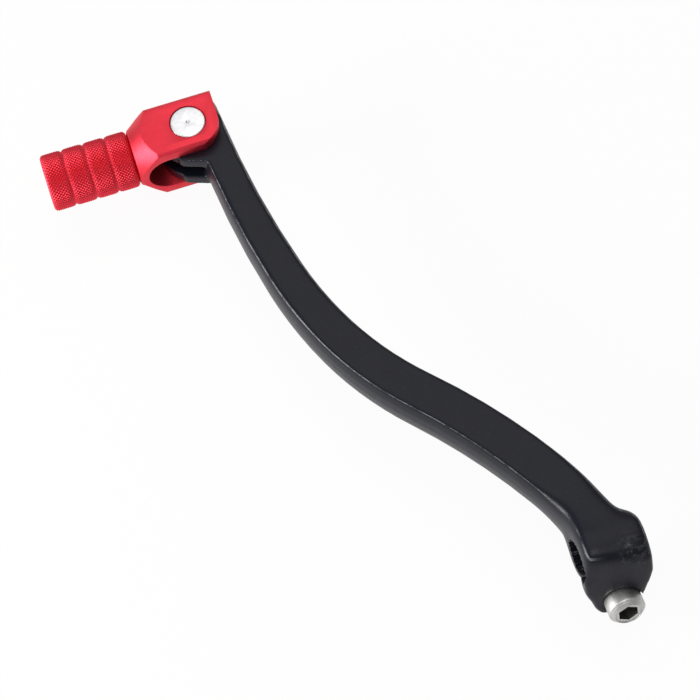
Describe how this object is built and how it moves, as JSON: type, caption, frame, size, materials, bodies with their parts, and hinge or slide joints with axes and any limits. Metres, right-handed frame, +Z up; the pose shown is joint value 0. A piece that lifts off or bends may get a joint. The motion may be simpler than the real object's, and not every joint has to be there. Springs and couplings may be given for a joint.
{
  "type": "gear shift lever",
  "caption": "Forged motorcycle gear shift lever with a serrated clamp boss, a curved arm and a spring-return folding peg that is knurled for grip.",
  "frame": {"origin": "on the serrated bore's axis, in the middle plane of the lever's forging; the bore runs from 10 mm outboard to 8.9 mm inboard of it", "axes": "+X along the shift shaft towards the engine, with the peg on the -X side; +Y forward along the lever; +Z up, along the peg's fold axis"},
  "size_m": [0.1216, 0.1799, 0.0307],
  "materials": {
    "coated_forging": "black semi-gloss coating over a forged surface",
    "red_anodised": "red anodised, turned and diamond knurled",
    "pin_steel": "turned",
    "spring_steel": "drawn wire",
    "zinc_plated": "zinc plated"
  },
  "bodies": {
    "lever": {"lever_arm": "coated_forging", "pinch_bolt": "zinc_plated", "return_spring": "spring_steel"},
    "tip": {"folding_tip": "red_anodised", "pivot_pin": "pin_steel"}
  },
  "joints": [
    {"name": "fold", "type": "hinge", "parent": "lever", "child": "tip", "pos_m": [-0.07, 0.1557, 0], "axis": [0, 0, 1], "range_deg": [0, 45], "stiffness_Nm_per_rad": 0.3, "springref_deg": -57.3, "deforming": ["return_spring"]}
  ]
}
